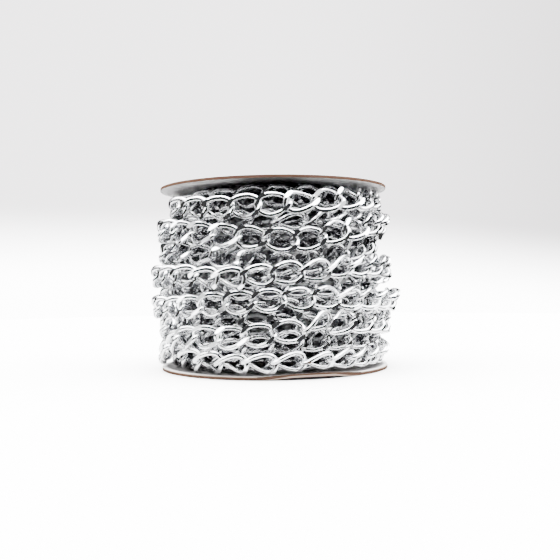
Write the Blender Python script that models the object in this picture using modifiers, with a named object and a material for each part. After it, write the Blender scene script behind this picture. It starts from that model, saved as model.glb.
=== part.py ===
"""A spool of aluminium curb chain: a paper tube between two paperboard flanges, wound full of chain.

Metres, +Z up. The spool stands on its lower flange, its axis is Z, and the origin is the
centre of that flange's underside. -Y is the front. An azimuth is in degrees, 0 at the front
and growing towards +X.
"""

import math

import bmesh
import bpy
import numpy as np
from mathutils import Matrix, Vector

MM = 0.001

# Spool
FLANGE_RADIUS = 45.0 * MM
FLANGE_THICKNESS = 1.35 * MM
SPOOL_HEIGHT = 71.6 * MM
SPINDLE_HOLE_RADIUS = 9.0 * MM
TUBE_RADIUS = 20.0 * MM
TUBE_WALL = 1.5 * MM
FIT_GAP = 0.3 * MM
FLANGE_SIDES = 64
TUBE_SIDES = 48
LAYER_SIDES = 40
SHARP_ANGLE = 40.0

# The lower flange's rim is crushed and swollen over a short stretch at the front
SWELLING_AZIMUTH = 18.0
SWELLING_HALF_WIDTH = 25.0
SWELLING_HEIGHT = 1.1 * MM
SWELLING_DEPTH = 3.0 * MM

# Chain
WIRE_DIAMETER = 1.85 * MM
LINK_LENGTH = 13.7 * MM
LINK_WIDTH = 9.2 * MM
LINK_PITCH = LINK_LENGTH - 2 * WIRE_DIAMETER
LINK_TWIST = 42.0
EYE_LENGTH = LINK_PITCH - 2 * WIRE_DIAMETER + 0.4 * MM
KNOT_WIDTH = 7.4 * MM
TURN_END_GAP = 1.2 * MM

# Winding: the inner layers are one solid, then come the under layer and the outer layer
INNER_RADIUS = 35.6 * MM
INNER_ROWS = 7

# Each turn's height above the lower flange and its radius, in millimetres at these
# azimuths, in the order of winding
STATION_AZIMUTHS = (-120, -80, -50, -20, 10, 40, 70, 120, 180)
TURN_HEIGHTS = {
    "under_turn_5": (4.7, 4.9, 5.7, 8.8, 11.7, 12.1, 11.7, 11.5, 13.3),
    "under_turn_4": (14.3, 15.2, 18.4, 20.5, 23.1, 23.5, 23.3, 24.1, 26.4),
    "under_turn_3": (27.4, 28.8, 29.7, 30.4, 31.1, 31.5, 32.3, 35.4, 39.9),
    "under_turn_2": (44.1, 44.5, 44.3, 40.7, 39.3, 43.3, 47.2, 48.1, 49.9),
    "under_turn_1": (52.5, 52.7, 52.7, 53.2, 54.1, 54.9, 55.1, 55.7, 59.1),
    "outer_turn_1": (61.7, 61.9, 60.1, 58.9, 60.5, 62.5, 63.7, 61.7, 54.5),
    "outer_turn_2": (53.1, 53.2, 51.6, 49.2, 47.2, 51.9, 54.8, 51.4, 43.4),
    "outer_turn_3": (36.5, 35.5, 35.1, 34.5, 36.2, 38.0, 38.4, 34.7, 28.9),
    "outer_turn_4": (23.7, 23.5, 23.6, 25.8, 26.9, 26.7, 25.8, 23.3, 18.9),
    "outer_turn_5": (8.9, 5.4, 12.5, 13.4, 16.0, 18.0, 17.0, 14.1, 8.1),
    "outer_turn_6": (4.9, 5.1, 4.8, 4.3, 4.9, 5.1, 5.1, 4.8, 5.1),
}
TURN_RADII = {
    "under_turn_5": (38.3, 38.3, 38.5, 39.5, 40.0, 39.4, 40.6, 39.4, 38.8),
    "under_turn_4": (39.0, 43.6, 40.0, 40.0, 40.0, 39.6, 38.7, 39.0, 40.0),
    "under_turn_3": (40.0, 40.0, 40.0, 39.8, 40.0, 40.0, 39.5, 39.5, 40.0),
    "under_turn_2": (42.2, 43.4, 42.0, 40.0, 39.8, 40.0, 39.5, 38.8, 39.5),
    "under_turn_1": (39.0, 38.5, 39.2, 39.8, 40.0, 39.8, 38.6, 38.6, 39.6),
    "outer_turn_1": (41.2, 40.4, 43.8, 45.2, 45.3, 43.8, 40.8, 43.0, 44.6),
    "outer_turn_2": (44.2, 44.3, 44.8, 45.5, 45.3, 45.0, 43.4, 44.6, 45.4),
    "outer_turn_3": (46.0, 46.3, 45.9, 45.8, 45.7, 45.0, 44.6, 45.2, 46.1),
    "outer_turn_4": (46.2, 46.4, 45.6, 45.2, 45.3, 46.2, 47.3, 46.8, 45.2),
    "outer_turn_5": (44.9, 44.2, 45.1, 45.2, 45.4, 44.6, 44.2, 44.6, 44.2),
    "outer_turn_6": (38.9, 39.0, 41.6, 44.0, 44.3, 43.8, 42.6, 42.6, 42.4),
}
WINDING_STEP = 0.5
CHAIN_START_AZIMUTH = -38.0
CHAIN_END_AZIMUTH = 138.0

# The azimuth of one link's middle at the front of each turn
FRONT_LINKS = {
    "under_turn_5": -9.0,
    "under_turn_4": 6.0,
    "under_turn_3": -2.0,
    "under_turn_2": 4.0,
    "under_turn_1": -7.0,
    "outer_turn_1": -0.1,
    "outer_turn_2": -9.4,
    "outer_turn_3": -7.4,
    "outer_turn_4": -2.5,
    "outer_turn_5": -6.7,
    "outer_turn_6": -6.9,
}
# How far a turn leans at the stations, its upper edge outwards, in degrees
TURN_LEANS = {
    "outer_turn_1": (0, 5, 20, 20, -20, -25, -10, 0, 0),
    "outer_turn_2": (0, 0, -15, -20, 0, 0, 28, 6, 0),
    "outer_turn_3": (10, 10, 20, 38, 28, 26, 4, 0, 0),
    "outer_turn_4": (0, 0, -5, -15, 14, 30, 25, 0, 0),
    "outer_turn_5": (0, -10, -10, -30, 5, 0, 0, 0, 0),
    "outer_turn_6": (0, 0, 20, 45, 45, 45, 28, 22, 20),
}

PAPER = ("coated_paper", (0.80, 0.79, 0.78), 0.55, 0.0)
KRAFT = ("kraft_board", (0.42, 0.27, 0.17), 0.85, 0.0)
ALUMINIUM = ("bright_aluminium", (0.91, 0.92, 0.93), 0.12, 1.0)


def clear_scene():
    for obj in list(bpy.data.objects):
        bpy.data.objects.remove(obj)


def new_collection(name):
    collection = bpy.data.collections.new(name)
    bpy.context.scene.collection.children.link(collection)
    return collection


def material(name, colour, roughness, metallic):
    found = bpy.data.materials.get(name)
    if found:
        return found
    made = bpy.data.materials.new(name)
    made.use_nodes = True
    shader = made.node_tree.nodes["Principled BSDF"]
    shader.inputs["Base Color"].default_value = (*colour, 1.0)
    shader.inputs["Roughness"].default_value = roughness
    shader.inputs["Metallic"].default_value = metallic
    return made


def add_node(name, mesh, finish, collection):
    obj = bpy.data.objects.new(name, mesh)
    obj.data.materials.append(material(*finish))
    collection.objects.link(obj)
    return obj


def turned_mesh(name, profile, sides):
    """A closed profile of (radius, height) points, spun once round Z."""
    shape = bmesh.new()
    points = [shape.verts.new((radius, 0, height)) for radius, height in profile]
    edges = [
        shape.edges.new((points[i - 1], points[i])) for i in range(len(points))
    ]
    bmesh.ops.spin(
        shape,
        geom=points + edges,
        cent=(0, 0, 0),
        axis=(0, 0, 1),
        angle=2 * math.pi,
        steps=sides,
        use_merge=True,
    )
    bmesh.ops.remove_doubles(shape, verts=shape.verts, dist=0.01 * MM)
    bmesh.ops.recalc_face_normals(shape, faces=shape.faces)
    mesh = bpy.data.meshes.new(name)
    shape.to_mesh(mesh)
    shape.free()
    mesh.shade_smooth()
    mesh.set_sharp_from_angle(angle=math.radians(SHARP_ANGLE))
    return mesh


def azimuth_of(point):
    return math.degrees(math.atan2(point.x, -point.y))


def swell_rim(mesh):
    """Raises the top edge of the rim where the board has been crushed."""
    for vertex in mesh.vertices:
        radius = vertex.co.xy.length
        if radius < FLANGE_RADIUS - SWELLING_DEPTH / 2 or vertex.co.z < FLANGE_THICKNESS / 2:
            continue
        offset = (azimuth_of(vertex.co) - SWELLING_AZIMUTH) / SWELLING_HALF_WIDTH
        if abs(offset) < 1:
            vertex.co.z += SWELLING_HEIGHT * math.cos(offset * math.pi / 2)


def make_flanges(collection):
    top_of_board = FLANGE_THICKNESS
    lower = turned_mesh(
        "lower_flange",
        (
            (SPINDLE_HOLE_RADIUS, 0),
            (FLANGE_RADIUS, 0),
            (FLANGE_RADIUS, top_of_board),
            (FLANGE_RADIUS - SWELLING_DEPTH, top_of_board),
            (SPINDLE_HOLE_RADIUS, top_of_board),
        ),
        FLANGE_SIDES,
    )
    swell_rim(lower)
    add_node("lower_flange", lower, PAPER, collection)

    underside = SPOOL_HEIGHT - FLANGE_THICKNESS
    upper = turned_mesh(
        "upper_flange",
        (
            (SPINDLE_HOLE_RADIUS, underside),
            (FLANGE_RADIUS, underside),
            (FLANGE_RADIUS, SPOOL_HEIGHT),
            (SPINDLE_HOLE_RADIUS, SPOOL_HEIGHT),
        ),
        FLANGE_SIDES,
    )
    add_node("upper_flange", upper, PAPER, collection)


def make_tube(collection):
    low = FLANGE_THICKNESS
    high = SPOOL_HEIGHT - FLANGE_THICKNESS
    bore = TUBE_RADIUS - TUBE_WALL
    profile = ((bore, low), (TUBE_RADIUS, low), (TUBE_RADIUS, high), (bore, high))
    add_node("core_tube", turned_mesh("core_tube", profile, TUBE_SIDES), KRAFT, collection)


def make_inner_layers(collection):
    """The hidden layers of chain as one ring, with a low ridge for each row."""
    low = FLANGE_THICKNESS + FIT_GAP
    high = SPOOL_HEIGHT - FLANGE_THICKNESS - FIT_GAP
    row = (high - low) / INNER_ROWS
    groove = WIRE_DIAMETER / 2
    profile = [(TUBE_RADIUS + FIT_GAP, low)]
    for i in range(INNER_ROWS):
        profile.append((INNER_RADIUS - groove, low + i * row))
        profile.append((INNER_RADIUS, low + (i + 0.5) * row))
    profile.append((INNER_RADIUS - groove, high))
    profile.append((TUBE_RADIUS + FIT_GAP, high))
    mesh = turned_mesh("inner_layers", profile, LAYER_SIDES)
    add_node("inner_layers", mesh, ALUMINIUM, collection)


def curve_through(angles, values, wanted):
    """A smooth curve through the stations, as cubic pieces with averaged slopes."""
    slopes = np.gradient(values, angles)
    index = np.clip(np.searchsorted(angles, wanted) - 1, 0, len(angles) - 2)
    width = angles[index + 1] - angles[index]
    share = np.clip((wanted - angles[index]) / width, 0, 1)
    rest = 1 - share
    return (
        values[index] * (1 + 2 * share) * rest**2
        + values[index + 1] * (3 - 2 * share) * share**2
        + slopes[index] * width * share * rest**2
        - slopes[index + 1] * width * rest * share**2
    )


class Winding:
    """The chain's centre line, measured by its length from the first under turn on."""

    def __init__(self):
        self.turns = list(TURN_HEIGHTS)
        angles = []
        heights = []
        radii = []
        for number, turn in enumerate(self.turns):
            angles += [360 * number + azimuth for azimuth in STATION_AZIMUTHS]
            heights += [FLANGE_THICKNESS + height * MM for height in TURN_HEIGHTS[turn]]
            radii += [radius * MM for radius in TURN_RADII[turn]]
        angles = np.array([-180.0] + angles)
        self.angles = np.arange(angles[0], angles[-1] + WINDING_STEP, WINDING_STEP)
        z = curve_through(angles, np.array([heights[0]] + heights), self.angles)
        r = curve_through(angles, np.array([radii[0]] + radii), self.angles)
        radians = np.radians(self.angles)
        self.points = np.stack([r * np.sin(radians), -r * np.cos(radians), z], axis=1)
        steps = np.linalg.norm(np.diff(self.points, axis=0), axis=1)
        self.lengths = np.concatenate([[0], np.cumsum(steps)])

    def length_at(self, angle):
        return float(np.interp(angle, self.angles, self.lengths))

    def angle_at(self, length):
        return float(np.interp(length, self.lengths, self.angles))

    def point(self, length):
        return Vector([np.interp(length, self.lengths, row) for row in self.points.T])

    def frame(self, length):
        """The matrix at one place of the winding: X along it, Z outwards."""
        centre = self.point(length)
        along = self.point(length + LINK_PITCH / 2) - self.point(length - LINK_PITCH / 2)
        along.normalize()
        outwards = Vector((centre.x, centre.y, 0))
        outwards = (outwards - along * outwards.dot(along)).normalized()
        across = outwards.cross(along)
        axes = Matrix((along, across, outwards)).transposed().to_4x4()
        return Matrix.Translation(centre) @ axes


def link_places(winding):
    """Each turn's links as (length along the winding to the link's middle, pitch)."""
    fronts = [
        winding.length_at(360 * number + FRONT_LINKS[turn])
        for number, turn in enumerate(winding.turns)
    ]
    places = []
    place = fronts[0] - LINK_PITCH
    while place > winding.length_at(CHAIN_START_AZIMUTH):
        places.append((place, LINK_PITCH))
        place -= LINK_PITCH
    for front, following in zip(fronts, fronts[1:]):
        joints = round((following - front) / LINK_PITCH)
        pitch = (following - front) / joints
        places += [(front + i * pitch, pitch) for i in range(joints)]
    place = fronts[-1]
    while place < winding.length_at(360 * (len(fronts) - 1) + CHAIN_END_AZIMUTH):
        places.append((place, LINK_PITCH))
        place += LINK_PITCH

    found = {turn: [] for turn in winding.turns}
    for place, pitch in sorted(places):
        turn = winding.turns[int((winding.angle_at(place) + 180) // 360)]
        found[turn].append((place, pitch))
    return found


def make_turn(turn, places, winding, has_eyes, collection):
    """One turn of links as a strip that twists at every link, its eyes cut through.

    The strip's columns stand at the links' middles and at both ends of each eye, and its
    rows at the edges of the two strands of wire.
    """
    columns = []
    for place, pitch in places:
        eye = pitch - LINK_PITCH + EYE_LENGTH
        columns.append((place - eye / 2, -eye / 2, False))
        if has_eyes:
            columns.append((place, 0, True))
        columns.append((place + eye / 2, eye / 2, True))
    first, pitch = places[0]
    last, pitch = places[-1]
    inset = pitch / 2 - TURN_END_GAP / 2
    columns.insert(0, (first - inset, -EYE_LENGTH / 2, False))
    columns.append((last + inset, EYE_LENGTH / 2, False))

    shape = bmesh.new()
    rows = 3 if has_eyes else 1
    bmesh.ops.create_grid(shape, x_segments=len(columns) - 1, y_segments=rows, size=1)
    shape.verts.index_update()
    leans = TURN_LEANS.get(turn, (0,) * len(STATION_AZIMUTHS))
    half_link = (LINK_LENGTH - WIRE_DIAMETER) / 2
    for vertex in shape.verts:
        column = round((vertex.co.x + 1) / 2 * (len(columns) - 1))
        row = round((vertex.co.y + 1) / 2 * rows)
        place, offset, in_eye = columns[column]
        outer = (LINK_WIDTH if offset == 0 else KNOT_WIDTH) / 2
        inner = outer - WIRE_DIAMETER
        across = (-outer, -inner, inner, outer)[row] if has_eyes else (-outer, outer)[row]
        azimuth = (winding.angle_at(place) + 180) % 360 - 180
        lean = math.radians(np.interp(azimuth, STATION_AZIMUTHS, leans))
        twist = -math.radians(LINK_TWIST) * offset / half_link + lean
        vertex.co = (column, across * math.cos(twist), across * math.sin(twist))
    eyes = []
    for face in shape.faces:
        middle = face.calc_center_median()
        right_column = max(round(vertex.co.x) for vertex in face.verts)
        if has_eyes and columns[right_column][2] and abs(middle.y) < WIRE_DIAMETER / 4:
            eyes.append(face)
    bmesh.ops.delete(shape, geom=eyes, context="FACES")
    for vertex in shape.verts:
        place = columns[round(vertex.co.x)][0]
        vertex.co = winding.frame(place) @ Vector((0, vertex.co.y, vertex.co.z))
    bmesh.ops.recalc_face_normals(shape, faces=shape.faces)
    mesh = bpy.data.meshes.new(turn)
    shape.to_mesh(mesh)
    shape.free()
    node = add_node(turn, mesh, ALUMINIUM, collection)
    wall = node.modifiers.new("wire", "SOLIDIFY")
    wall.thickness = WIRE_DIAMETER
    wall.offset = 0


def make_chain(collection):
    winding = Winding()
    for turn, places in link_places(winding).items():
        make_turn(turn, places, winding, turn.startswith("outer"), collection)


def main():
    clear_scene()
    spool = new_collection("chain_spool")
    make_flanges(spool)
    make_tube(spool)
    make_inner_layers(spool)
    make_chain(spool)


main()
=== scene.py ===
import math
import random

import bmesh
import bpy
import numpy as np
from mathutils import Euler, Matrix, Vector


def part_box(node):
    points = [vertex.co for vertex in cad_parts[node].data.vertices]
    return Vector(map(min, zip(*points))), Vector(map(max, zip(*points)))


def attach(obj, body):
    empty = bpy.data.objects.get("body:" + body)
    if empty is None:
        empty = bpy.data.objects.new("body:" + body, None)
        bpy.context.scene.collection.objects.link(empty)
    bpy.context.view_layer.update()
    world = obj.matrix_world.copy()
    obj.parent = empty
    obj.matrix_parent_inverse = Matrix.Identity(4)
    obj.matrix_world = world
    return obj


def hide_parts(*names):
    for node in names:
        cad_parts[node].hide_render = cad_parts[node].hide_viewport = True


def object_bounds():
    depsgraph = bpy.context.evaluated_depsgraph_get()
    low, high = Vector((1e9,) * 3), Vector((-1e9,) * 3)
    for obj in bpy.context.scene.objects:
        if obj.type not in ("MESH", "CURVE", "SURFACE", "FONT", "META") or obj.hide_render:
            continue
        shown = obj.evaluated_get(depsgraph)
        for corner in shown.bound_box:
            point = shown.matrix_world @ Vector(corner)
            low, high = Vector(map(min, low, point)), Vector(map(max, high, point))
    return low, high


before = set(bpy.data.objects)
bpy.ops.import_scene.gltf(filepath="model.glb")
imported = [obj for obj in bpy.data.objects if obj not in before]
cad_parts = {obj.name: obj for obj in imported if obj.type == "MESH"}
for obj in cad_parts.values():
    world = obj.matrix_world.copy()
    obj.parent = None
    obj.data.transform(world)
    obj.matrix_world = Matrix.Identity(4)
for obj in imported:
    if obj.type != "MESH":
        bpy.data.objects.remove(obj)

# The spool of curb chain, dressed for its photograph. Metres, +Z up, the spool's axis is Z.
# An azimuth is in degrees, 0 at the front (-Y) and growing towards +X.

MM = 0.001
CAD_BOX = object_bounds()

# Spool: its outer sizes come from the solids
FLANGE_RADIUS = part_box("upper_flange")[1].x
SPOOL_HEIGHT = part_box("upper_flange")[1].z
BOARD = SPOOL_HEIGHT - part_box("upper_flange")[0].z
TUBE_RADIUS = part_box("core_tube")[1].x
HOLE_RADIUS = 9.0 * MM
TUBE_WALL = 1.5 * MM
TUBE_STEPS = 96
SHARP_ANGLE = math.radians(40)

# A board's cut edge: its softened corners, and how unevenly it is cut
BOARD_STEPS = 180
EDGE_BEVEL = 0.16 * MM
CORNER_WIDTH = 3 * EDGE_BEVEL
CORNER_DROP = 0.4 * EDGE_BEVEL
RIM_MARGIN = 0.6 * EDGE_BEVEL
FACE_MARGIN = 0.3 * EDGE_BEVEL
RIM_WOBBLE = 0.0006
LOWER_RIM_SEED = 3
UPPER_RIM_SEED = 4

# What a face of a board's cut edge shows, as numbers on the faces
BARE = 1.0
CREAM = 2.0
# Faces painted black as the shadow in the split
SHADOW_BAND = 3.0

# How thick a board's cream ply is, on the side that faces the chain. On the lower board's rim
# this band is partly the ply and partly a painted highlight on the rounded upper corner
LOWER_CREAM_AND_HIGHLIGHT = 0.35 * MM
UPPER_CREAM_PLY = 0.2 * MM

# The lower flange's rim is crushed and swollen over a short stretch at the front right
SWELLING_AZIMUTH = 18.0
SWELLING_HALF_WIDTH = 25.0
SWELLING_HEIGHT = 1.1 * MM
SWELLING_DEPTH = 3.0 * MM

# Its plies split there: azimuths, then how high the band painted black as the gap's shadow and
# the cream ply above it reach, as shares of the board's thickness, and what is left of that where
# the rim is whole
SPLIT_START = -9.0
SPLIT_END = 44.0
SPLIT_TAPER = 16.0
GAP_TOP = 0.4
CREAM_TOP = 0.66
SPLIT_CLOSED = 0.15

# Distances below which two points are the same, and two heights or radii are equal
MERGE_DISTANCE = 0.001 * MM
ROUNDING = 0.01 * MM

# A link: a plain ring of wire drawn out to an oval, twisted, and cut flat on both faces
WIRE_RADIUS = 0.925 * MM
LINK_LENGTH = 13.7 * MM
LINK_WIDTH = 9.2 * MM
LINK_PITCH = LINK_LENGTH - 4 * WIRE_RADIUS
HALF_LENGTH = LINK_LENGTH / 2 - WIRE_RADIUS
HALF_WIDTH = LINK_WIDTH / 2 - WIRE_RADIUS
LINK_ROUNDNESS = 2.4
LINK_TWIST = 43.0
CUT_HEIGHT = 1.98 * MM
RING_RADIUS = 4.0 * MM

# Sides of the wire and stations round the link: outer turns, under turns, deeper layers
FINE_LINK = (12, 28)
PLAIN_LINK = (8, 20)
DEEP_LINK = (5, 10)

# Each turn's height above the lower flange and its radius, in millimetres at these
# azimuths, in the order of winding
STATION_AZIMUTHS = (-120, -80, -50, -20, 10, 40, 70, 120, 180)
TURN_HEIGHTS = {
    "under_turn_5": (4.7, 4.9, 5.7, 8.8, 11.7, 12.1, 11.7, 11.5, 13.3),
    "under_turn_4": (14.3, 15.2, 18.4, 20.5, 23.1, 23.5, 23.3, 24.1, 26.4),
    "under_turn_3": (27.4, 28.8, 29.7, 30.4, 31.1, 31.5, 32.3, 35.4, 39.9),
    "under_turn_2": (44.1, 44.5, 44.3, 40.7, 39.3, 43.3, 47.2, 48.1, 49.9),
    "under_turn_1": (52.5, 52.7, 52.7, 53.2, 54.1, 54.9, 55.1, 55.7, 59.1),
    "outer_turn_1": (61.7, 61.9, 60.1, 58.9, 60.5, 62.5, 63.7, 61.7, 54.5),
    "outer_turn_2": (53.1, 53.2, 51.6, 49.2, 47.2, 51.9, 54.8, 51.4, 43.4),
    "outer_turn_3": (36.5, 35.5, 35.1, 34.5, 36.2, 38.0, 38.4, 34.7, 28.9),
    "outer_turn_4": (23.7, 23.5, 23.6, 25.8, 26.9, 26.7, 25.8, 23.3, 18.9),
    "outer_turn_5": (8.9, 5.4, 12.5, 13.4, 16.0, 18.0, 17.0, 14.1, 8.1),
    "outer_turn_6": (4.9, 5.1, 4.8, 4.3, 4.9, 5.1, 5.1, 4.8, 5.1),
}
TURN_RADII = {
    "under_turn_5": (38.3, 38.3, 38.5, 39.5, 40.0, 39.4, 40.6, 39.4, 38.8),
    "under_turn_4": (39.0, 43.6, 40.0, 40.0, 40.0, 39.6, 38.7, 39.0, 40.0),
    "under_turn_3": (40.0, 40.0, 40.0, 39.8, 40.0, 40.0, 39.5, 39.5, 40.0),
    "under_turn_2": (42.2, 43.4, 42.0, 40.0, 39.8, 40.0, 39.5, 38.8, 39.5),
    "under_turn_1": (39.0, 38.5, 39.2, 39.8, 40.0, 39.8, 38.6, 38.6, 39.6),
    "outer_turn_1": (41.2, 40.4, 43.8, 45.2, 45.3, 43.8, 40.8, 43.0, 44.6),
    "outer_turn_2": (44.2, 44.3, 44.8, 45.5, 45.3, 45.0, 43.4, 44.6, 45.4),
    "outer_turn_3": (46.0, 46.3, 45.9, 45.8, 45.7, 45.0, 44.6, 45.2, 46.1),
    "outer_turn_4": (46.2, 46.4, 45.6, 45.2, 45.3, 46.2, 47.3, 46.8, 45.2),
    "outer_turn_5": (44.9, 44.2, 45.1, 45.2, 45.4, 44.6, 44.2, 44.6, 44.2),
    "outer_turn_6": (38.9, 39.0, 41.6, 44.0, 44.3, 43.8, 42.6, 42.6, 42.4),
}
WINDING_STEP = 0.5

# Where the chain starts in its first turn and ends in its last, and the azimuth of the
# link at the front of each turn
CHAIN_START_AZIMUTH = -38.0
CHAIN_END_AZIMUTH = 138.0
FRONT_LINKS = {
    "under_turn_5": -9.0,
    "under_turn_4": 6.0,
    "under_turn_3": -2.0,
    "under_turn_2": 4.0,
    "under_turn_1": -7.0,
    "outer_turn_1": -0.1,
    "outer_turn_2": -9.4,
    "outer_turn_3": -7.4,
    "outer_turn_4": -2.5,
    "outer_turn_5": -6.7,
    "outer_turn_6": -6.9,
}

# How far a turn's links lean at those stations, the upper edge outwards, in degrees
UPRIGHT = (0,) * len(STATION_AZIMUTHS)
TURN_LEANS = {
    "under_turn_5": UPRIGHT,
    "under_turn_4": UPRIGHT,
    "under_turn_3": (60, 60, 0, 0, 0, 0, 55, 60, 30),
    "under_turn_2": (0, -5, -42, -36, 0, 0, 0, 0, 0),
    "under_turn_1": (0, 0, 0, 20, 60, 60, 20, 0, 0),
    "outer_turn_1": (0, 5, 20, 20, -20, -25, -10, 0, 0),
    "outer_turn_2": (0, 0, -15, -20, 0, 0, 28, 6, 0),
    "outer_turn_3": (10, 10, 20, 38, 28, 26, 4, 0, 0),
    "outer_turn_4": (0, 0, -5, -15, 14, 30, 25, 0, 0),
    "outer_turn_5": (0, -10, -10, -30, 5, 0, 0, 0, 0),
    "outer_turn_6": (0, 0, 20, 45, 45, 45, 28, 22, 20),
}

# Single links that lie askew: turn, azimuth, roll and yaw in degrees, then how far the link
# is raised and stands out, in millimetres
ODD_LINKS = (
    ("under_turn_1", 17.0, 4, 16, 0.6, 1.2),
    ("under_turn_1", 29.0, 0, 14, 1.4, 1.2),
    ("under_turn_3", -87.0, 0, 0, -1.0, 1.6),
    ("under_turn_3", -74.0, 0, 0, -1.0, 1.6),
    ("under_turn_3", 74.0, 0, 0, 0.0, 1.6),
    ("under_turn_3", 88.0, 0, 0, 0.0, 2.2),
    ("outer_turn_1", -100.0, 0, 0, 0.0, -1.2),
    ("outer_turn_1", -88.0, 0, 0, 0.0, -1.7),
    ("outer_turn_1", -76.0, 0, 0, 0.0, -1.7),
    ("outer_turn_1", -64.0, 0, 0, 0.0, -1.0),
    ("outer_turn_3", 176.0, 0, 0, 0.0, -0.6),
    ("outer_turn_4", 176.0, 0, 0, 0.0, -0.3),
    ("outer_turn_4", 8.5, 12, -12, 0.2, 0.4),
    ("outer_turn_5", 15.5, 62, 22, 1.6, 0.6),
    ("outer_turn_5", 27.0, 8, 14, 0.5, 0.4),
)
ODD_LINK_REACH = 6.0

# How much the links wander from their places: spreads in degrees and metres
LINK_ROLL = 6.0
LINK_TILT = 3.0
LINK_SHIFT = 0.12 * MM
CHAIN_SEED = 7

# The third and fourth layers, seen as glints through the eyes of the two above them: each
# one's radius, and its rows' heights above the table at the front, in millimetres
DEEP_LAYERS = {
    "chain_layer_3": (37.4, (6.2, 13.0, 18.8, 28.0, 36.0, 42.5, 48.6, 56.5, 64.8)),
    "chain_layer_4": (33.6, (9.0, 16.0, 23.0, 30.0, 38.0, 45.0, 52.0, 59.0, 65.0)),
}
DEEP_STEP = 2.0

# What lies below them is one ring, clear of the tube
DEEP_CORE_RADIUS = 31.0 * MM
DEEP_CORE_GAP = 0.3 * MM

# Colours. Of a pair, the second shows where the blend's share is 1
CLEAN_ALUMINIUM = ((0.93, 0.935, 0.945), (0.80, 0.81, 0.83))
# Painted shade for wire deep in the winding, darker towards the sides
SHADED_ALUMINIUM = ((0.58, 0.583, 0.59), (0.36, 0.363, 0.37))
# Painted shade: the deep layers' wire is given a darker colour
SHADED_DEEP_ALUMINIUM = ((0.58, 0.585, 0.595), (0.34, 0.345, 0.35))
# Painted shade: the hidden core's colour is far darker than bare aluminium
WOUND_CORE = ((0.10, 0.10, 0.105), (0.50, 0.50, 0.51))
LOWER_BROWN = ((0.028, 0.0155, 0.010), (0.068, 0.039, 0.027))
UPPER_BROWN = ((0.062, 0.032, 0.021), (0.15, 0.083, 0.057))
# Cream: the paper's ply, and on the lower rim's upper corner a painted highlight too
CREAM_PLY_AND_HIGHLIGHT = ((0.22, 0.155, 0.12), (0.34, 0.27, 0.23))
WHITE_PAPER = ((0.83, 0.82, 0.81), (0.77, 0.76, 0.755))
# Painted light: a whiter underside for the upper board, for light thrown up onto it from the
# chain
PAINTED_LIGHT_WHITE = (0.93, 0.92, 0.915)
# Painted shade on the coated faces next to the chain
PAINTED_SHADE_PAPER = (0.13, 0.125, 0.125)
# Painted shadow in the split of the lower rim
PAINTED_SHADOW_BLACK = (0.006, 0.005, 0.005)
KRAFT = ((0.30, 0.19, 0.12), (0.47, 0.32, 0.21))
KRAFT_SEAM = (0.13, 0.08, 0.05)

# Grain of the looks in cells for each metre, the values between which its contrast lies,
# and the depth of the bumps that it makes
GRIME_GRAIN = 260
GRIME_CONTRAST = (0.42, 0.72)
HAZE_GRAIN = 900
DENT_GRAIN = 420
DENT_DEPTH = 0.04 * MM
CORE_GRAIN = 300
CORE_CONTRAST = (0.4, 0.65)
FIBRE_GRAIN = 1400
FIBRE_DEPTH = 0.05 * MM
BLOTCH_GRAIN = 160
MOTTLE_GRAIN = 90
MOTTLE_CONTRAST = (0.35, 0.7)
KRAFT_GRAIN = 900
KRAFT_DEPTH = 0.08 * MM

# Where a look changes, from the first value to the second: distances to the left or right
# of the middle, then radii, then heights
# All but the last set where painted shade on the wire and on the boards begins and ends
SIDES = (22 * MM, 38 * MM)
UPPER_SHADE_SPREAD = (4 * MM, 27 * MM)
SHADED_RADII = (39.0 * MM, 45.0 * MM)
LOWER_SHADE_RADII = (42.6 * MM, 44.2 * MM)
TOP_ROW = (57 * MM, 62 * MM)
BETWEEN_BOARDS = (10 * MM, 20 * MM)

# How much the top row escapes the painted shade on the wire, and how much nearer to the rim
# the painted shade on the lower board reaches in the middle
TOP_ROW_SHARE = 0.8
RIM_SHADE_REACH = 1.4 * MM

# The paper tube's spiral seam: its climb in one turn, and its width as a share of that
TUBE_SEAM_PITCH = 34 * MM
TUBE_SEAM_WIDTH = 0.02

# Camera: it looks level from the front, a little rolled, at this distance from the axis
PHOTO_WIDTH = 560
CAMERA_DISTANCE = 314.0 * MM
CAMERA_HEIGHT = 34.85 * MM
CAMERA_LENS = 50.0
CAMERA_ROLL = 0.7
CAMERA_SHIFT = 6 / PHOTO_WIDTH
CAMERA_NEAR = 10 * MM

# Floor: the camera sees it overexposed. In what the chain reflects it is pale near the
# spool and fades to dark between two distances from the axis, farther off along X
FLOOR_RADIUS = 0.5
FLOOR_STEPS = 128
FLOOR_DROP = 0.05 * MM
FLOOR_SEEN = (1.2, 1.2, 1.2)
FLOOR_REFLECTED = ((0.7, 0.7, 0.7), (0.005, 0.005, 0.005))
FLOOR_FADE = (54 * MM, 64 * MM)
FLOOR_X_WEIGHT = 0.4

# Tent, as directions on a unit sphere: X to the right, Y to the back, Z up
TENT_STRENGTH = 16.0
TENT_WHITE = ((1.3, 1.3, 1.3), (1.7, 1.7, 1.7))
TENT_DARK = (0.0032, 0.0032, 0.0033)
TENT_CROWN = (0.72, 0.86)
OPENING_TOP = (0.70, 0.76)
OPENING_DEPTH = (0.5, 0.62)
HORIZON_BAND = (0.28, 0.36)
HORIZON_SHADE = 0.93
SEAM_HEIGHT = 0.80
SEAM_BAND = (0.03, 0.05)
POLE_PLACE = 0.8
POLE_BAND = (0.08, 0.11)
POLE_TOP = (0.5, 0.55)
SEAM_SHADE = 0.9

# Backdrop, which only the camera sees: white below, a grey wall above, darker to the right
BACKDROP_WHITE = (0.85, 0.85, 0.85)
WALL_COLOURS = ((0.245, 0.238, 0.241), (0.125, 0.12, 0.122))
WALL_SIDES = (-0.05, 0.6)
WALL_FOOT = (-0.005, 0.1)
WALL_SLOPE = 0.06

# The colour sockets of a Mix node, whose names repeat
MIX_SHARE, MIX_FIRST, MIX_SECOND, MIX_RESULT = 0, 6, 7, 2


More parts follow.
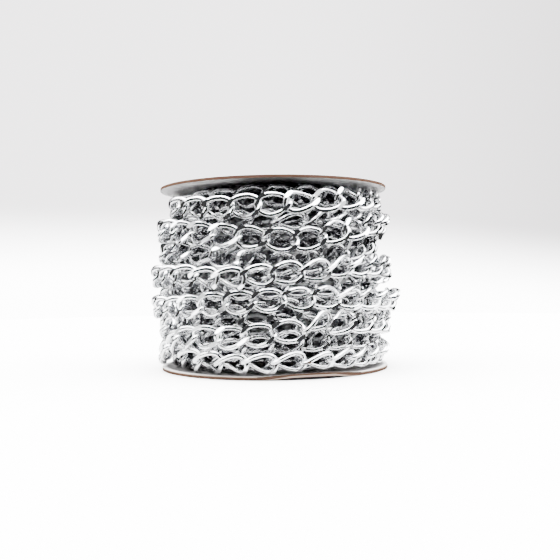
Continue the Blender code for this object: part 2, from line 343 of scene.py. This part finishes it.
class Field:
    """A number that varies over a surface. Sums and products of fields add Math nodes."""

    def __init__(self, finish, socket):
        self.finish = finish
        self.socket = socket

    def maths(self, operation, *values):
        made = self.finish.node("ShaderNodeMath", dict(enumerate(values)), operation=operation)
        return Field(self.finish, made.outputs[0])

    def __add__(self, other):
        return self.maths("ADD", self, other)

    def __sub__(self, other):
        return self.maths("SUBTRACT", self, other)

    def __rsub__(self, other):
        return self.maths("SUBTRACT", other, self)

    def __mul__(self, other):
        return self.maths("MULTIPLY", self, other)

    def __truediv__(self, other):
        return self.maths("DIVIDE", self, other)

    def __pow__(self, other):
        return self.maths("POWER", self, other)

    def __abs__(self):
        return self.maths("ABSOLUTE", self)

    __radd__ = __add__
    __rmul__ = __mul__

    def clamped(self):
        return self.maths("MINIMUM", self.maths("MAXIMUM", self, 0.0), 1.0)

    def rises(self, low, high):
        """0 below low, 1 above high, smooth between."""
        share = ((self - low) / (high - low)).clamped()
        return share * share * (3.0 - 2.0 * share)


class Finish:
    """The nodes of one material, or of the world."""

    def __init__(self, owner):
        owner.use_nodes = True
        self.tree = owner.node_tree
        self.owner = owner

    def node(self, kind, sockets=None, **settings):
        made = self.tree.nodes.new(kind)
        for name, value in settings.items():
            setattr(made, name, value)
        for name, value in (sockets or {}).items():
            self.feed(made.inputs[name], value)
        return made

    def feed(self, socket, value):
        if isinstance(value, Field):
            value = value.socket
        if isinstance(value, bpy.types.NodeSocket):
            self.tree.links.new(value, socket)
        elif socket.type == "RGBA":
            socket.default_value = (*value, 1)
        else:
            socket.default_value = value

    def position(self, coordinates="Object"):
        return self.node("ShaderNodeTexCoord").outputs[coordinates]

    def axes(self, vector):
        made = self.node("ShaderNodeSeparateXYZ", {0: vector})
        return [Field(self, output) for output in made.outputs]

    def attribute(self, name):
        made = self.node("ShaderNodeAttribute", attribute_name=name)
        return Field(self, made.outputs["Fac"])

    def noise(self, scale, detail=2.0, roughness=0.5, stretch=(1, 1, 1)):
        """Soft noise, its scale in cells for each metre."""
        placed = self.node("ShaderNodeMapping", {"Vector": self.position(), "Scale": stretch})
        made = self.node(
            "ShaderNodeTexNoise",
            {
                "Vector": placed.outputs[0],
                "Scale": scale,
                "Detail": detail,
                "Roughness": roughness,
            },
        )
        return Field(self, made.outputs[0])

    def blend(self, share, first, second):
        """first where share is 0, second where it is 1."""
        sockets = {MIX_SHARE: share, MIX_FIRST: first, MIX_SECOND: second}
        return self.node("ShaderNodeMix", sockets, data_type="RGBA").outputs[MIX_RESULT]

    def bump(self, height, distance, strength):
        made = self.node(
            "ShaderNodeBump", {"Height": height, "Distance": distance, "Strength": strength}
        )
        return made.outputs[0]

    def camera_ray(self):
        return self.node("ShaderNodeLightPath").outputs["Is Camera Ray"]

    def surface(self, **sockets):
        shader = self.tree.nodes["Principled BSDF"]
        for name, value in sockets.items():
            self.feed(shader.inputs[name.replace("_", " ")], value)
        return self.owner


def new_finish(name):
    return Finish(bpy.data.materials.new(name))


def bright_aluminium():
    """Polished wire with faint haze and dents, darkened with painted shade where it lies deep in
    the winding, most towards the sides and least on the top row.
    """
    finish = new_finish("bright_aluminium")
    tone = finish.attribute("link_tone")
    cut = finish.attribute("cut_facet")
    grime = finish.noise(GRIME_GRAIN, 3.0).rises(*GRIME_CONTRAST)
    haze = finish.noise(HAZE_GRAIN)
    dents = finish.noise(DENT_GRAIN)
    x, y, z = finish.axes(finish.position())
    # Painted shade: the wire's colour darkens with its depth in the winding, less on the top row
    depth = 1.0 - ((x * x + y * y) ** 0.5).rises(*SHADED_RADII)
    depth = depth * (1.0 - TOP_ROW_SHARE * z.rises(*TOP_ROW))
    bright = finish.blend(grime * 0.35 + tone * 0.3, *CLEAN_ALUMINIUM)
    painted_shade = finish.blend(abs(x).rises(*SIDES), *SHADED_ALUMINIUM)
    return finish.surface(
        Base_Color=finish.blend(depth, bright, painted_shade),
        Metallic=1.0,
        Roughness=0.07 + haze * 0.05 + grime * 0.04 - cut * 0.045 + tone * 0.02,
        Normal=finish.bump(dents, DENT_DEPTH, 0.12),
    )


def deep_aluminium():
    """The third and fourth layers' wire, its colour darkened as painted shade because it gets
    little light.
    """
    finish = new_finish("deep_aluminium")
    tone = finish.attribute("link_tone")
    return finish.surface(
        Base_Color=finish.blend(tone, *SHADED_DEEP_ALUMINIUM),
        Metallic=1.0,
        Roughness=0.2 + 0.1 * tone,
    )


def wound_core():
    """Streaks of paler and darker colour for the chain that is too deep to see, kept dark as
    painted shade.
    """
    finish = new_finish("wound_core")
    streaks = finish.noise(CORE_GRAIN, 3.0, 0.6, (1, 1, 2.5)).rises(*CORE_CONTRAST)
    return finish.surface(
        Base_Color=finish.blend(streaks, *WOUND_CORE),
        Metallic=0.9,
        Roughness=0.35,
    )


def is_ply(ply, number):
    """1 on the faces marked with this number or a higher one, 0 on the others."""
    return ply.rises(number - 0.6, number - 0.4)


def edge_colour(finish, ply, upper, fibres, blotches):
    """A board's cut edge: brown, with a cream band and a band painted black as the shadow in the
    split, where they are marked.
    """
    streaks = (fibres * 0.7 + blotches * 0.5 - 0.1).clamped()
    brown = finish.blend(
        upper,
        finish.blend(streaks, *LOWER_BROWN),
        finish.blend(streaks, *UPPER_BROWN),
    )
    # Cream: the paper's ply, and on the lower rim's upper corner a painted highlight too
    cream = finish.blend(fibres, *CREAM_PLY_AND_HIGHLIGHT)
    bare = finish.blend(is_ply(ply, CREAM), brown, cream)
    return finish.blend(is_ply(ply, SHADOW_BAND), bare, PAINTED_SHADOW_BLACK)


def coated_colour(finish, upper, x, y):
    """A board's white coating, with painted shade on the side that faces the chain and painted
    light on the upper board's underside.
    """
    chain_side = finish.attribute("chain_side")
    radius = (x * x + y * y) ** 0.5
    # Painted shade: grey on the lower board's top near the chain, reaching nearer the rim in the
    # middle, and along the middle of the upper board's underside
    shade_to_rim = 1.0 - abs(x).rises(*SIDES)
    rim = (radius - RIM_SHADE_REACH * shade_to_rim).rises(*LOWER_SHADE_RADII)
    lower_painted_shade = (1.0 - rim) * (1.0 - upper)
    upper_painted_shade = (1.0 - abs(x).rises(*UPPER_SHADE_SPREAD)) * upper
    mottle = finish.noise(MOTTLE_GRAIN, 3.0).rises(*MOTTLE_CONTRAST)
    white = finish.blend(mottle, *WHITE_PAPER)
    # Painted light: the upper board's underside is made whiter
    white = finish.blend(upper * chain_side, white, PAINTED_LIGHT_WHITE)
    return finish.blend((lower_painted_shade + upper_painted_shade) * chain_side, white, PAINTED_SHADE_PAPER)


def paperboard():
    """Coated faces with painted shade next to the chain, a bare brown edge, a cream ply, and a
    band painted black as the shadow in the split.
    """
    finish = new_finish("paperboard")
    ply = finish.attribute("bare_ply")
    x, y, z = finish.axes(finish.position())
    fibres = finish.noise(FIBRE_GRAIN, 4.0, 0.6, (1, 1, 6))
    blotches = finish.noise(BLOTCH_GRAIN)
    upper = z.rises(*BETWEEN_BOARDS)
    edge = is_ply(ply, BARE)
    bare = edge_colour(finish, ply, upper, fibres, blotches)
    return finish.surface(
        Base_Color=finish.blend(edge, coated_colour(finish, upper, x, y), bare),
        Roughness=0.45 + edge * 0.4 + 0.08 * fibres,
        Specular_IOR_Level=0.06,
        Normal=finish.bump(fibres * (0.25 + edge) + blotches * 0.3, FIBRE_DEPTH, 0.4),
    )


def kraft_tube():
    """Brown paper wound in a spiral, its seams showing as thin darker lines."""
    finish = new_finish("kraft_tube")
    x, y, z = finish.axes(finish.position())
    turns = z / TUBE_SEAM_PITCH + x.maths("ARCTAN2", y, x) / math.tau
    seam = 1.0 - abs(turns.maths("FRACT", turns) - 0.5).rises(0.0, TUBE_SEAM_WIDTH)
    fibres = finish.noise(KRAFT_GRAIN, 4.0, 0.6)
    return finish.surface(
        Base_Color=finish.blend(seam * 0.6, finish.blend(fibres, *KRAFT), KRAFT_SEAM),
        Roughness=0.85,
        Normal=finish.bump(fibres - seam, KRAFT_DEPTH, 0.4),
    )


def add_piece(name, shape, finish, slot, *nodes):
    """A finished piece that stands for the named solids and rides on the spool."""
    mesh = bpy.data.meshes.new(name)
    shape.to_mesh(mesh)
    shape.free()
    mesh.materials.append(finish)
    piece = bpy.data.objects.new(name, mesh)
    bpy.context.scene.collection.objects.link(piece)
    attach(piece, "root")
    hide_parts(*nodes)


def spun(shape, steps):
    """Spins the shape's points and edges once round Z and smooths the faces they sweep."""
    bmesh.ops.spin(
        shape,
        geom=shape.verts[:] + shape.edges[:],
        cent=(0, 0, 0),
        axis=(0, 0, 1),
        angle=math.tau,
        steps=steps,
        use_merge=True,
    )
    bmesh.ops.remove_doubles(shape, verts=shape.verts, dist=MERGE_DISTANCE)
    for face in shape.faces:
        face.smooth = True


def turned(profile, steps):
    """A closed outline of (radius, height) points, spun once round the spool's axis."""
    shape = bmesh.new()
    points = [shape.verts.new((radius, 0, height)) for radius, height in profile]
    for i, point in enumerate(points):
        shape.edges.new((points[i - 1], point))
    spun(shape, steps)
    bmesh.ops.recalc_face_normals(shape, faces=shape.faces)
    return shape


def turned_ring(bore, radius, low, high):
    """A plain ring between two radii and two heights."""
    return turned(((bore, low), (radius, low), (radius, high), (bore, high)), TUBE_STEPS)


def azimuth_of(place):
    return math.degrees(math.atan2(place.x, -place.y))


def swelling_at(azimuth):
    """How far the rim has swollen at this azimuth, from 0 to 1."""
    offset = (azimuth - SWELLING_AZIMUTH) / SWELLING_HALF_WIDTH
    return math.cos(offset * math.pi / 2) if abs(offset) < 1 else 0.0


def split_at(azimuth):
    """How far the rim's plies have come apart at this azimuth, from 0 to 1."""
    inside = min(azimuth - SPLIT_START, SPLIT_END - azimuth)
    return min(1.0, max(0.0, inside / SPLIT_TAPER))


def board_profile(low, cream_ply):
    """A board's section with softened corners, and a point at each border of its plies."""
    high = low + BOARD
    return (
        (HOLE_RADIUS, low + EDGE_BEVEL),
        (HOLE_RADIUS + EDGE_BEVEL, low),
        (FLANGE_RADIUS - SWELLING_DEPTH, low),
        (FLANGE_RADIUS - CORNER_WIDTH, low),
        (FLANGE_RADIUS - CORNER_DROP, low + CORNER_DROP),
        (FLANGE_RADIUS, low + cream_ply),
        (FLANGE_RADIUS, low + GAP_TOP * BOARD),
        (FLANGE_RADIUS, low + CREAM_TOP * BOARD),
        (FLANGE_RADIUS, high - cream_ply),
        (FLANGE_RADIUS - CORNER_DROP, high - CORNER_DROP),
        (FLANGE_RADIUS - CORNER_WIDTH, high),
        (FLANGE_RADIUS - SWELLING_DEPTH, high),
        (HOLE_RADIUS + EDGE_BEVEL, high),
        (HOLE_RADIUS, high - EDGE_BEVEL),
    )


def mark_faces(shape, low, cream_ply, swollen):
    """Marks the faces on the chain's side, and the ply that each face of the edge shows."""
    ply = shape.faces.layers.float.new("bare_ply")
    chain_side = shape.faces.layers.float.new("chain_side")
    high = low + BOARD
    for face in shape.faces:
        centre = face.calc_center_median()
        at_rim = centre.xy.length > FLANGE_RADIUS - RIM_MARGIN
        at_hole = centre.xy.length < HOLE_RADIUS + FACE_MARGIN
        from_chain = high - centre.z if swollen else centre.z - low
        face[chain_side] = float(from_chain < FACE_MARGIN)
        top_ply = not swollen and centre.z > high - cream_ply
        face[ply] = BARE * ((at_rim and not top_ply) or at_hole)
        split = swollen and split_at(azimuth_of(centre)) > 0
        cream = centre.z < low + CREAM_TOP * BOARD if split else from_chain < cream_ply
        # Below the split's cream ply the rim is painted black as the gap's shadow
        if at_rim and split and centre.z < low + GAP_TOP * BOARD:
            face[ply] = SHADOW_BAND
        elif at_rim and cream:
            face[ply] = CREAM


def is_on_rim(point):
    return point.xy.length > FLANGE_RADIUS - ROUNDING


def crush_rim(shape, low):
    """Gives the split's bands, painted black as its shadow and cream, their height where the
    plies part and squeezes them to the bottom elsewhere, and lifts the swollen stretch, most at
    its upper edge.
    """
    for vertex in shape.verts:
        point = vertex.co
        azimuth = azimuth_of(point)
        if is_on_rim(point) and point.z < low + CREAM_TOP * BOARD + ROUNDING:
            point.z = low + (point.z - low) * max(SPLIT_CLOSED, split_at(azimuth))
        reach = (point.xy.length - FLANGE_RADIUS + SWELLING_DEPTH) / SWELLING_DEPTH
        if reach > 0:
            lift = SWELLING_HEIGHT * swelling_at(azimuth) * min(1, reach)
            point.z += lift * (point.z - low) / BOARD


def roughen_rim(shape, draw):
    """Takes a little off the rim, by an amount that differs at each step round it."""
    wobble = [draw.uniform(-1, 1) for step in range(BOARD_STEPS)]
    for vertex in shape.verts:
        if is_on_rim(vertex.co):
            step = round((azimuth_of(vertex.co) + 180) / 360 * BOARD_STEPS) % BOARD_STEPS
            vertex.co.xy *= 1 - RIM_WOBBLE * (1 + wobble[step])


def make_flange(name, low, cream_ply, finish, seed, swollen=False):
    """A round board, below the chain if its rim is swollen and above it if not."""
    shape = turned(board_profile(low, cream_ply), BOARD_STEPS)
    mark_faces(shape, low, cream_ply, swollen)
    if swollen:
        crush_rim(shape, low)
    roughen_rim(shape, random.Random(seed))
    add_piece(name + "_board", shape, finish, "coated_paper", name)


def make_tube(finish):
    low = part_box("core_tube")[0].z
    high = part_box("core_tube")[1].z
    shape = turned_ring(TUBE_RADIUS - TUBE_WALL, TUBE_RADIUS, low, high)
    for edge in shape.edges:
        edge.smooth = edge.calc_face_angle(0) < SHARP_ANGLE
    add_piece("paper_tube", shape, finish, "kraft_board", "core_tube")


def curve_through(angles, values, wanted):
    """A smooth curve through the stations, as cubic pieces with averaged slopes."""
    slopes = np.gradient(values, angles)
    index = np.clip(np.searchsorted(angles, wanted) - 1, 0, len(angles) - 2)
    width = angles[index + 1] - angles[index]
    share = np.clip((wanted - angles[index]) / width, 0, 1)
    rest = 1 - share
    return (
        values[index] * (1 + 2 * share) * rest**2
        + values[index + 1] * (3 - 2 * share) * share**2
        + slopes[index] * width * share * rest**2
        - slopes[index + 1] * width * rest * share**2
    )


class Winding:
    """The middle line of some chain, measured by its length from its start."""

    def __init__(self, angles, heights, radii):
        self.angles = angles
        radians = np.radians(angles)
        self.points = np.stack(
            [radii * np.sin(radians), -radii * np.cos(radians), heights], axis=1
        )
        steps = np.linalg.norm(np.diff(self.points, axis=0), axis=1)
        self.lengths = np.concatenate([[0], np.cumsum(steps)])

    def length_at(self, angle):
        return float(np.interp(angle, self.angles, self.lengths))

    def angle_at(self, length):
        return float(np.interp(length, self.lengths, self.angles))

    def azimuth_at(self, length):
        return (self.angle_at(length) + 180) % 360 - 180

    def point(self, length):
        return Vector([np.interp(length, self.lengths, row) for row in self.points.T])

    def frame(self, length):
        """The matrix at one place of the winding: X along it, Z outwards."""
        centre = self.point(length)
        along = self.point(length + LINK_PITCH / 2) - self.point(length - LINK_PITCH / 2)
        along.normalize()
        outwards = Vector((centre.x, centre.y, 0))
        outwards = (outwards - along * outwards.dot(along)).normalized()
        axes = Matrix((along, outwards.cross(along), outwards)).transposed().to_4x4()
        return Matrix.Translation(centre) @ axes


def outer_winding():
    """The two outer layers: the under turns first, then the outer turns."""
    angles = [-180.0]
    heights = []
    radii = []
    for number, turn in enumerate(TURN_HEIGHTS):
        angles += [360 * number + azimuth for azimuth in STATION_AZIMUTHS]
        heights += [BOARD + height * MM for height in TURN_HEIGHTS[turn]]
        radii += [radius * MM for radius in TURN_RADII[turn]]
    angles = np.array(angles)
    fine = np.arange(angles[0], angles[-1] + WINDING_STEP / 2, WINDING_STEP)
    heights = curve_through(angles, np.array([heights[0]] + heights), fine)
    radii = curve_through(angles, np.array([radii[0]] + radii), fine)
    return Winding(fine, heights, radii)


def deep_winding(radius, heights):
    """A layer below the outer two: one spiral between the flanges."""
    angles = np.arange(-180, 360 * len(heights) - 180, DEEP_STEP)
    turns = 360 * np.arange(len(heights))
    climb = np.interp(angles, turns, np.array(heights) * MM)
    return Winding(angles, climb, np.full(len(angles), radius * MM))


def link_places(winding):
    """The links' middles, as lengths along the winding, for each turn."""
    turns = list(TURN_HEIGHTS)
    fronts = [
        winding.length_at(360 * number + FRONT_LINKS[turn]) for number, turn in enumerate(turns)
    ]
    places = []
    # Back from the first turn's front link to the chain's start
    place = fronts[0] - LINK_PITCH
    while place > winding.length_at(CHAIN_START_AZIMUTH):
        places.append(place)
        place -= LINK_PITCH
    # From each front link to the next, the pitch stretched a little to fit
    for front, following in zip(fronts, fronts[1:]):
        joints = round((following - front) / LINK_PITCH)
        places += [front + i * (following - front) / joints for i in range(joints)]
    # On from the last turn's front link to the chain's end
    place = fronts[-1]
    while place < winding.length_at(360 * (len(fronts) - 1) + CHAIN_END_AZIMUTH):
        places.append(place)
        place += LINK_PITCH
    found = {turn: [] for turn in turns}
    for place in sorted(places):
        found[turns[int((winding.angle_at(place) + 180) // 360)]].append(place)
    return found


def on_oval(place):
    """Moves a point of the round ring to the link's oval."""
    turn = math.atan2(place.y, place.x)
    cosine = math.cos(turn)
    sine = math.sin(turn)
    power = 2 / LINK_ROUNDNESS
    x = HALF_LENGTH * math.copysign(abs(cosine) ** power, cosine)
    y = HALF_WIDTH * math.copysign(abs(sine) ** power, sine)
    steep = LINK_ROUNDNESS - 1
    normal = Vector(
        (
            math.copysign(abs(x / HALF_LENGTH) ** steep, x) / HALF_LENGTH,
            math.copysign(abs(y / HALF_WIDTH) ** steep, y) / HALF_WIDTH,
            0,
        )
    ).normalized()
    offset = place.xy.length - RING_RADIUS
    return Vector((x, y, 0)) + normal * offset + Vector((0, 0, place.z))


def twisted(place):
    """Turns a point of the flat link about the link's length, more towards its ends."""
    angle = -math.radians(LINK_TWIST) * place.x / HALF_LENGTH
    return Matrix.Rotation(angle, 3, "X") @ place


def cut_flat(shape):
    """Cuts the link flat on both faces and marks the facets."""
    cut = shape.faces.layers.float.new("cut_facet")
    for side in (1, -1):
        bmesh.ops.bisect_plane(
            shape,
            geom=shape.verts[:] + shape.edges[:] + shape.faces[:],
            dist=MERGE_DISTANCE,
            plane_co=(0, 0, side * CUT_HEIGHT),
            plane_no=(0, 0, side),
            clear_outer=True,
        )
        facets = bmesh.ops.holes_fill(shape, edges=shape.edges[:], sides=0)["faces"]
        for facet in facets:
            facet[cut] = 1.0
            facet.smooth = False
            for edge in facet.edges:
                edge.smooth = False


def link_mesh(name, sides, stations):
    """One curb link along X, its face to +Z: a twisted ring of wire, cut flat on both faces."""
    shape = bmesh.new()
    stand = Matrix.Translation((RING_RADIUS, 0, 0)) @ Matrix.Rotation(math.pi / 2, 4, "X")
    bmesh.ops.create_circle(shape, segments=sides, radius=WIRE_RADIUS, matrix=stand)
    spun(shape, stations)
    for vertex in shape.verts:
        vertex.co = twisted(on_oval(vertex.co))
    cut_flat(shape)
    bmesh.ops.recalc_face_normals(shape, faces=shape.faces)
    mesh = bpy.data.meshes.new(name)
    shape.to_mesh(mesh)
    shape.free()
    return mesh


def askew(odd_links, azimuth):
    """The roll, yaw, rise and outward shift of the link at this azimuth."""
    for middle, *change in odd_links:
        if abs(azimuth - middle) < ODD_LINK_REACH:
            return change
    return (0, 0, 0, 0)


def link_matrix(winding, place, leans, odd_links, draw):
    """Puts a link at its place on the winding, leaning as its turn does and a little off true."""
    azimuth = winding.azimuth_at(place)
    lean = np.interp(azimuth, STATION_AZIMUTHS, leans)
    odd_roll, odd_yaw, rise, outward = askew(odd_links, azimuth)
    roll = math.radians(lean + odd_roll + draw.gauss(0, LINK_ROLL))
    yaw = math.radians(odd_yaw + draw.gauss(0, LINK_TILT))
    tilt = math.radians(draw.gauss(0, LINK_TILT))
    wander = Vector([draw.gauss(0, LINK_SHIFT) for axis in range(3)])
    shift = Matrix.Translation(wander + Vector((0, rise * MM, outward * MM)))
    return winding.frame(place) @ shift @ Euler((roll, tilt, yaw)).to_matrix().to_4x4()


def lay_links(link, places, winding, leans, draw, odd_links=()):
    """Copies of the link at their places, each with a tone of its own, as one shape."""
    shape = bmesh.new()
    tone = shape.faces.layers.float.new("link_tone")
    for place in places:
        old_points = len(shape.verts)
        old_faces = len(shape.faces)
        shape.from_mesh(link)
        matrix = link_matrix(winding, place, leans, odd_links, draw)
        bmesh.ops.transform(shape, matrix=matrix, verts=shape.verts[old_points:])
        shade = draw.random()
        for face in shape.faces[old_faces:]:
            face[tone] = shade
    return shape


def make_turns(finish, draw):
    """The two outer layers, one piece for each turn."""
    winding = outer_winding()
    fine_link = link_mesh("fine_link", *FINE_LINK)
    plain_link = link_mesh("plain_link", *PLAIN_LINK)
    for turn, places in link_places(winding).items():
        link = fine_link if turn.startswith("outer") else plain_link
        odd_links = [values for odd_turn, *values in ODD_LINKS if odd_turn == turn]
        shape = lay_links(link, places, winding, TURN_LEANS[turn], draw, odd_links)
        add_piece("chain_" + turn, shape, finish, "bright_aluminium", turn)


def make_deep_layers(finish, draw):
    """The two layers below them, in simpler links."""
    link = link_mesh("deep_link", *DEEP_LINK)
    for name, (radius, heights) in DEEP_LAYERS.items():
        winding = deep_winding(radius, heights)
        count = int(winding.lengths[-1] / LINK_PITCH) - 1
        places = [(i + 1) * LINK_PITCH for i in range(count)]
        shape = lay_links(link, places, winding, UPRIGHT, draw)
        add_piece(name, shape, finish, "bright_aluminium", "inner_layers")


def make_deep_core(finish):
    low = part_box("inner_layers")[0].z
    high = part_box("inner_layers")[1].z
    shape = turned_ring(TUBE_RADIUS + DEEP_CORE_GAP, DEEP_CORE_RADIUS, low, high)
    add_piece("chain_deep_layers", shape, finish, "bright_aluminium", "inner_layers")


def make_camera():
    camera = bpy.data.cameras.new("camera")
    camera.lens = CAMERA_LENS
    camera.shift_x = CAMERA_SHIFT
    camera.clip_start = CAMERA_NEAR
    holder = bpy.data.objects.new("camera", camera)
    holder.location = (0, -CAMERA_DISTANCE, CAMERA_HEIGHT)
    level = Matrix.Rotation(math.pi / 2, 4, "X")
    roll = Matrix.Rotation(math.radians(-CAMERA_ROLL), 4, "Z")
    holder.rotation_euler = (level @ roll).to_euler()
    bpy.context.scene.collection.objects.link(holder)
    bpy.context.scene.camera = holder


def white_floor():
    """Overexposed to the camera, and paler near the spool than away from it in reflections."""
    finish = new_finish("white_floor")
    x, y = finish.axes(finish.position())[:2]
    away = ((x * x * FLOOR_X_WEIGHT + y * y) ** 0.5).rises(*FLOOR_FADE)
    finish.surface(
        Base_Color=finish.blend(away, *FLOOR_REFLECTED),
        Roughness=1.0,
        Specular_IOR_Level=0.0,
    )
    reflected = finish.tree.nodes["Principled BSDF"].outputs[0]
    seen = finish.node("ShaderNodeBsdfDiffuse", {"Color": FLOOR_SEEN}).outputs[0]
    sockets = {0: finish.camera_ray(), 1: reflected, 2: seen}
    mixed = finish.node("ShaderNodeMixShader", sockets).outputs[0]
    finish.feed(finish.tree.nodes["Material Output"].inputs["Surface"], mixed)
    return finish.owner


def make_floor():
    """A round white table top."""
    shape = bmesh.new()
    bmesh.ops.create_circle(shape, cap_ends=True, segments=FLOOR_STEPS, radius=FLOOR_RADIUS)
    mesh = bpy.data.meshes.new("floor")
    shape.to_mesh(mesh)
    shape.free()
    mesh.materials.append(white_floor())
    floor = bpy.data.objects.new("floor", mesh)
    floor.location.z = CAD_BOX[0].z - FLOOR_DROP
    bpy.context.scene.collection.objects.link(floor)


def tent_colour(finish, x, y, z):
    """A bright tent with a wide dark opening at the front and back, and dark seams."""
    opening = (1.0 - abs(z).rises(*OPENING_TOP)) * abs(y).rises(*OPENING_DEPTH)
    horizon = 1.0 - abs(z).rises(*HORIZON_BAND)
    seam = 1.0 - abs(z - SEAM_HEIGHT).rises(*SEAM_BAND)
    pole = (1.0 - abs(abs(x) - POLE_PLACE).rises(*POLE_BAND)) * (1.0 - z.rises(*POLE_TOP))
    shade = (HORIZON_SHADE * horizon + SEAM_SHADE * seam + SEAM_SHADE * pole).clamped()
    shade = shade.maths("MAXIMUM", shade, opening)
    return finish.blend(shade, finish.blend(z.rises(*TENT_CROWN), *TENT_WHITE), TENT_DARK)


def backdrop_colour(finish, x, z):
    """White below the horizon and a grey wall above it."""
    side = x.rises(*WALL_SIDES)
    wall = finish.blend(side, *WALL_COLOURS)
    return finish.blend((z + WALL_SLOPE * side).rises(*WALL_FOOT), BACKDROP_WHITE, wall)


def make_world():
    """The tent lights the spool, and the camera sees the backdrop instead."""
    world = bpy.data.worlds.new("tent")
    bpy.context.scene.world = world
    finish = Finish(world)
    x, y, z = finish.axes(finish.position("Generated"))
    tent = tent_colour(finish, x, y, z)
    backdrop = backdrop_colour(finish, x, z)
    background = finish.tree.nodes["Background"]
    finish.feed(background.inputs["Color"], finish.blend(finish.camera_ray(), tent, backdrop))
    background.inputs["Strength"].default_value = TENT_STRENGTH


make_camera()
board = paperboard()
make_flange("lower_flange", CAD_BOX[0].z, LOWER_CREAM_AND_HIGHLIGHT, board, LOWER_RIM_SEED, swollen=True)
make_flange("upper_flange", SPOOL_HEIGHT - BOARD, UPPER_CREAM_PLY, board, UPPER_RIM_SEED)
make_tube(kraft_tube())
make_deep_core(wound_core())
chain_draw = random.Random(CHAIN_SEED)
make_turns(bright_aluminium(), chain_draw)
make_deep_layers(deep_aluminium(), chain_draw)
make_floor()
make_world()
